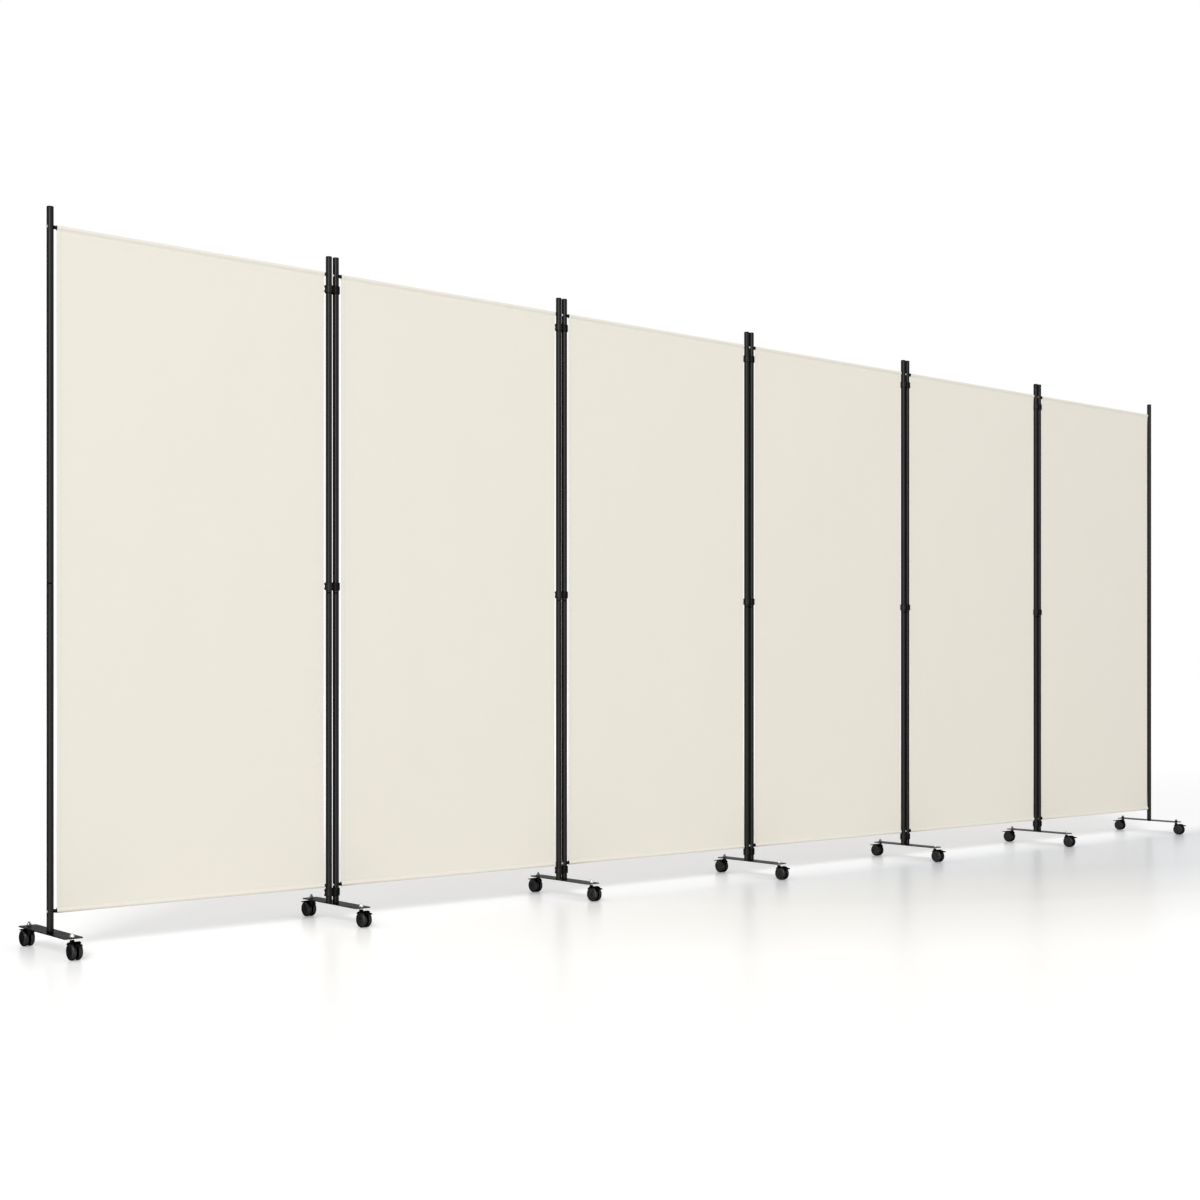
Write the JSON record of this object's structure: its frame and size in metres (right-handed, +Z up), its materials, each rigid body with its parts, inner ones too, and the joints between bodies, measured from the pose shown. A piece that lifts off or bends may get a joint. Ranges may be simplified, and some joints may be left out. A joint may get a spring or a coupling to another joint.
{
  "type": "folding room divider",
  "caption": "Freestanding folding screen: cloth panels in slim black tube frames joined by ring clips, on flat feet with braked twin-wheel casters.",
  "frame": {"origin": "on the floor under the middle of the straight row of panels", "axes": "+X along the row from the picture's left end to its right end, -Y is the front, +Z is up"},
  "size_m": [4.662, 0.326, 1.732],
  "materials": {
    "cloth": "plain weave, cream",
    "frame_paint": "satin black powder coat",
    "foot_paint": "semi-gloss black powder coat",
    "caster_plastic": "moulded, black",
    "wheel_plastic": "moulded, black",
    "brake_plastic": "moulded, black"
  },
  "bodies": {
    "panel_1": {"panel_1_fabric": "cloth", "panel_1_frame": "frame_paint", "panel_1_foot": "foot_paint"},
    "panel_2": {"panel_2_fabric": "cloth", "panel_2_frame": "frame_paint", "panel_2_foot": "foot_paint"},
    "panel_3": {"panel_3_fabric": "cloth", "panel_3_frame": "frame_paint", "panel_3_foot": "foot_paint"},
    "panel_4": {"panel_4_fabric": "cloth", "panel_4_frame": "frame_paint", "panel_4_foot": "foot_paint"},
    "panel_5": {"panel_5_fabric": "cloth", "panel_5_frame": "frame_paint", "panel_5_foot": "foot_paint"},
    "panel_6": {"panel_6_fabric": "cloth", "panel_6_frame": "frame_paint", "panel_6_foot": "foot_paint"},
    "caster_1_front_swivel": {"caster_1_front_swivel": "caster_plastic"},
    "caster_1_front_wheels": {"caster_1_front_wheels": "wheel_plastic"},
    "caster_1_front_brake": {"caster_1_front_brake": "brake_plastic"},
    "caster_1_back_swivel": {"caster_1_back_swivel": "caster_plastic"},
    "caster_1_back_wheels": {"caster_1_back_wheels": "wheel_plastic"},
    "caster_1_back_brake": {"caster_1_back_brake": "brake_plastic"},
    "caster_2_front_swivel": {"caster_2_front_swivel": "caster_plastic"},
    "caster_2_front_wheels": {"caster_2_front_wheels": "wheel_plastic"},
    "caster_2_front_brake": {"caster_2_front_brake": "brake_plastic"},
    "caster_2_back_swivel": {"caster_2_back_swivel": "caster_plastic"},
    "caster_2_back_wheels": {"caster_2_back_wheels": "wheel_plastic"},
    "caster_2_back_brake": {"caster_2_back_brake": "brake_plastic"},
    "caster_3_front_swivel": {"caster_3_front_swivel": "caster_plastic"},
    "caster_3_front_wheels": {"caster_3_front_wheels": "wheel_plastic"},
    "caster_3_front_brake": {"caster_3_front_brake": "brake_plastic"},
    "caster_3_back_swivel": {"caster_3_back_swivel": "caster_plastic"},
    "caster_3_back_wheels": {"caster_3_back_wheels": "wheel_plastic"},
    "caster_3_back_brake": {"caster_3_back_brake": "brake_plastic"},
    "caster_4_front_swivel": {"caster_4_front_swivel": "caster_plastic"},
    "caster_4_front_wheels": {"caster_4_front_wheels": "wheel_plastic"},
    "caster_4_front_brake": {"caster_4_front_brake": "brake_plastic"},
    "caster_4_back_swivel": {"caster_4_back_swivel": "caster_plastic"},
    "caster_4_back_wheels": {"caster_4_back_wheels": "wheel_plastic"},
    "caster_4_back_brake": {"caster_4_back_brake": "brake_plastic"},
    "caster_5_front_swivel": {"caster_5_front_swivel": "caster_plastic"},
    "caster_5_front_wheels": {"caster_5_front_wheels": "wheel_plastic"},
    "caster_5_front_brake": {"caster_5_front_brake": "brake_plastic"},
    "caster_5_back_swivel": {"caster_5_back_swivel": "caster_plastic"},
    "caster_5_back_wheels": {"caster_5_back_wheels": "wheel_plastic"},
    "caster_5_back_brake": {"caster_5_back_brake": "brake_plastic"},
    "caster_6_front_swivel": {"caster_6_front_swivel": "caster_plastic"},
    "caster_6_front_wheels": {"caster_6_front_wheels": "wheel_plastic"},
    "caster_6_front_brake": {"caster_6_front_brake": "brake_plastic"},
    "caster_6_back_swivel": {"caster_6_back_swivel": "caster_plastic"},
    "caster_6_back_wheels": {"caster_6_back_wheels": "wheel_plastic"},
    "caster_6_back_brake": {"caster_6_back_brake": "brake_plastic"},
    "caster_7_front_swivel": {"caster_7_front_swivel": "caster_plastic"},
    "caster_7_front_wheels": {"caster_7_front_wheels": "wheel_plastic"},
    "caster_7_front_brake": {"caster_7_front_brake": "brake_plastic"},
    "caster_7_back_swivel": {"caster_7_back_swivel": "caster_plastic"},
    "caster_7_back_wheels": {"caster_7_back_wheels": "wheel_plastic"},
    "caster_7_back_brake": {"caster_7_back_brake": "brake_plastic"}
  },
  "joints": [
    {"name": "fold_1", "type": "hinge", "parent": "panel_1", "child": "panel_2", "pos_m": [-1.5355, 0, 0.874], "axis": [0, 0, 1], "range_deg": [-125, 125]},
    {"name": "fold_2", "type": "hinge", "parent": "panel_2", "child": "panel_3", "pos_m": [-0.7625, 0, 0.874], "axis": [0, 0, -1], "range_deg": [-125, 125]},
    {"name": "fold_3", "type": "hinge", "parent": "panel_3", "child": "panel_4", "pos_m": [0.0105, 0, 0.874], "axis": [0, 0, 1], "range_deg": [-125, 125]},
    {"name": "fold_4", "type": "hinge", "parent": "panel_4", "child": "panel_5", "pos_m": [0.7835, 0, 0.874], "axis": [0, 0, -1], "range_deg": [-125, 125]},
    {"name": "fold_5", "type": "hinge", "parent": "panel_5", "child": "panel_6", "pos_m": [1.5565, 0, 0.874], "axis": [0, 0, 1], "range_deg": [-125, 125]},
    {"name": "caster_1_front_turn", "type": "hinge", "parent": "panel_1", "child": "caster_1_front_swivel", "pos_m": [-2.3085, -0.121, 0.04], "axis": [0, 0, 1], "continuous": true},
    {"name": "caster_1_front_roll", "type": "hinge", "parent": "caster_1_front_swivel", "child": "caster_1_front_wheels", "pos_m": [-2.3085, -0.134, 0.02], "axis": [1, 0, 0], "continuous": true},
    {"name": "caster_1_front_press", "type": "hinge", "parent": "caster_1_front_swivel", "child": "caster_1_front_brake", "pos_m": [-2.3085, -0.141, 0.032], "axis": [1, 0, 0], "range_deg": [0, 8]},
    {"name": "caster_1_back_turn", "type": "hinge", "parent": "panel_1", "child": "caster_1_back_swivel", "pos_m": [-2.3085, 0.121, 0.04], "axis": [0, 0, 1], "continuous": true},
    {"name": "caster_1_back_roll", "type": "hinge", "parent": "caster_1_back_swivel", "child": "caster_1_back_wheels", "pos_m": [-2.3085, 0.134, 0.02], "axis": [1, 0, 0], "continuous": true},
    {"name": "caster_1_back_press", "type": "hinge", "parent": "caster_1_back_swivel", "child": "caster_1_back_brake", "pos_m": [-2.3085, 0.141, 0.032], "axis": [-1, 0, 0], "range_deg": [0, 8]},
    {"name": "caster_2_front_turn", "type": "hinge", "parent": "panel_2", "child": "caster_2_front_swivel", "pos_m": [-1.5355, -0.121, 0.04], "axis": [0, 0, 1], "continuous": true},
    {"name": "caster_2_front_roll", "type": "hinge", "parent": "caster_2_front_swivel", "child": "caster_2_front_wheels", "pos_m": [-1.5355, -0.134, 0.02], "axis": [1, 0, 0], "continuous": true},
    {"name": "caster_2_front_press", "type": "hinge", "parent": "caster_2_front_swivel", "child": "caster_2_front_brake", "pos_m": [-1.5355, -0.141, 0.032], "axis": [1, 0, 0], "range_deg": [0, 8]},
    {"name": "caster_2_back_turn", "type": "hinge", "parent": "panel_2", "child": "caster_2_back_swivel", "pos_m": [-1.5355, 0.121, 0.04], "axis": [0, 0, 1], "continuous": true},
    {"name": "caster_2_back_roll", "type": "hinge", "parent": "caster_2_back_swivel", "child": "caster_2_back_wheels", "pos_m": [-1.5355, 0.134, 0.02], "axis": [1, 0, 0], "continuous": true},
    {"name": "caster_2_back_press", "type": "hinge", "parent": "caster_2_back_swivel", "child": "caster_2_back_brake", "pos_m": [-1.5355, 0.141, 0.032], "axis": [-1, 0, 0], "range_deg": [0, 8]},
    {"name": "caster_3_front_turn", "type": "hinge", "parent": "panel_3", "child": "caster_3_front_swivel", "pos_m": [-0.7625, -0.121, 0.04], "axis": [0, 0, 1], "continuous": true},
    {"name": "caster_3_front_roll", "type": "hinge", "parent": "caster_3_front_swivel", "child": "caster_3_front_wheels", "pos_m": [-0.7625, -0.134, 0.02], "axis": [1, 0, 0], "continuous": true},
    {"name": "caster_3_front_press", "type": "hinge", "parent": "caster_3_front_swivel", "child": "caster_3_front_brake", "pos_m": [-0.7625, -0.141, 0.032], "axis": [1, 0, 0], "range_deg": [0, 8]},
    {"name": "caster_3_back_turn", "type": "hinge", "parent": "panel_3", "child": "caster_3_back_swivel", "pos_m": [-0.7625, 0.121, 0.04], "axis": [0, 0, 1], "continuous": true},
    {"name": "caster_3_back_roll", "type": "hinge", "parent": "caster_3_back_swivel", "child": "caster_3_back_wheels", "pos_m": [-0.7625, 0.134, 0.02], "axis": [1, 0, 0], "continuous": true},
    {"name": "caster_3_back_press", "type": "hinge", "parent": "caster_3_back_swivel", "child": "caster_3_back_brake", "pos_m": [-0.7625, 0.141, 0.032], "axis": [-1, 0, 0], "range_deg": [0, 8]},
    {"name": "caster_4_front_turn", "type": "hinge", "parent": "panel_4", "child": "caster_4_front_swivel", "pos_m": [0.0105, -0.121, 0.04], "axis": [0, 0, 1], "continuous": true},
    {"name": "caster_4_front_roll", "type": "hinge", "parent": "caster_4_front_swivel", "child": "caster_4_front_wheels", "pos_m": [0.0105, -0.134, 0.02], "axis": [1, 0, 0], "continuous": true},
    {"name": "caster_4_front_press", "type": "hinge", "parent": "caster_4_front_swivel", "child": "caster_4_front_brake", "pos_m": [0.0105, -0.141, 0.032], "axis": [1, 0, 0], "range_deg": [0, 8]},
    {"name": "caster_4_back_turn", "type": "hinge", "parent": "panel_4", "child": "caster_4_back_swivel", "pos_m": [0.0105, 0.121, 0.04], "axis": [0, 0, 1], "continuous": true},
    {"name": "caster_4_back_roll", "type": "hinge", "parent": "caster_4_back_swivel", "child": "caster_4_back_wheels", "pos_m": [0.0105, 0.134, 0.02], "axis": [1, 0, 0], "continuous": true},
    {"name": "caster_4_back_press", "type": "hinge", "parent": "caster_4_back_swivel", "child": "caster_4_back_brake", "pos_m": [0.0105, 0.141, 0.032], "axis": [-1, 0, 0], "range_deg": [0, 8]},
    {"name": "caster_5_front_turn", "type": "hinge", "parent": "panel_5", "child": "caster_5_front_swivel", "pos_m": [0.7835, -0.121, 0.04], "axis": [0, 0, 1], "continuous": true},
    {"name": "caster_5_front_roll", "type": "hinge", "parent": "caster_5_front_swivel", "child": "caster_5_front_wheels", "pos_m": [0.7835, -0.134, 0.02], "axis": [1, 0, 0], "continuous": true},
    {"name": "caster_5_front_press", "type": "hinge", "parent": "caster_5_front_swivel", "child": "caster_5_front_brake", "pos_m": [0.7835, -0.141, 0.032], "axis": [1, 0, 0], "range_deg": [0, 8]},
    {"name": "caster_5_back_turn", "type": "hinge", "parent": "panel_5", "child": "caster_5_back_swivel", "pos_m": [0.7835, 0.121, 0.04], "axis": [0, 0, 1], "continuous": true},
    {"name": "caster_5_back_roll", "type": "hinge", "parent": "caster_5_back_swivel", "child": "caster_5_back_wheels", "pos_m": [0.7835, 0.134, 0.02], "axis": [1, 0, 0], "continuous": true},
    {"name": "caster_5_back_press", "type": "hinge", "parent": "caster_5_back_swivel", "child": "caster_5_back_brake", "pos_m": [0.7835, 0.141, 0.032], "axis": [-1, 0, 0], "range_deg": [0, 8]},
    {"name": "caster_6_front_turn", "type": "hinge", "parent": "panel_6", "child": "caster_6_front_swivel", "pos_m": [1.5565, -0.121, 0.04], "axis": [0, 0, 1], "continuous": true},
    {"name": "caster_6_front_roll", "type": "hinge", "parent": "caster_6_front_swivel", "child": "caster_6_front_wheels", "pos_m": [1.5565, -0.134, 0.02], "axis": [1, 0, 0], "continuous": true},
    {"name": "caster_6_front_press", "type": "hinge", "parent": "caster_6_front_swivel", "child": "caster_6_front_brake", "pos_m": [1.5565, -0.141, 0.032], "axis": [1, 0, 0], "range_deg": [0, 8]},
    {"name": "caster_6_back_turn", "type": "hinge", "parent": "panel_6", "child": "caster_6_back_swivel", "pos_m": [1.5565, 0.121, 0.04], "axis": [0, 0, 1], "continuous": true},
    {"name": "caster_6_back_roll", "type": "hinge", "parent": "caster_6_back_swivel", "child": "caster_6_back_wheels", "pos_m": [1.5565, 0.134, 0.02], "axis": [1, 0, 0], "continuous": true},
    {"name": "caster_6_back_press", "type": "hinge", "parent": "caster_6_back_swivel", "child": "caster_6_back_brake", "pos_m": [1.5565, 0.141, 0.032], "axis": [-1, 0, 0], "range_deg": [0, 8]},
    {"name": "caster_7_front_turn", "type": "hinge", "parent": "panel_6", "child": "caster_7_front_swivel", "pos_m": [2.3085, -0.121, 0.04], "axis": [0, 0, 1], "continuous": true},
    {"name": "caster_7_front_roll", "type": "hinge", "parent": "caster_7_front_swivel", "child": "caster_7_front_wheels", "pos_m": [2.3085, -0.134, 0.02], "axis": [1, 0, 0], "continuous": true},
    {"name": "caster_7_front_press", "type": "hinge", "parent": "caster_7_front_swivel", "child": "caster_7_front_brake", "pos_m": [2.3085, -0.141, 0.032], "axis": [1, 0, 0], "range_deg": [0, 8]},
    {"name": "caster_7_back_turn", "type": "hinge", "parent": "panel_6", "child": "caster_7_back_swivel", "pos_m": [2.3085, 0.121, 0.04], "axis": [0, 0, 1], "continuous": true},
    {"name": "caster_7_back_roll", "type": "hinge", "parent": "caster_7_back_swivel", "child": "caster_7_back_wheels", "pos_m": [2.3085, 0.134, 0.02], "axis": [1, 0, 0], "continuous": true},
    {"name": "caster_7_back_press", "type": "hinge", "parent": "caster_7_back_swivel", "child": "caster_7_back_brake", "pos_m": [2.3085, 0.141, 0.032], "axis": [-1, 0, 0], "range_deg": [0, 8]}
  ]
}
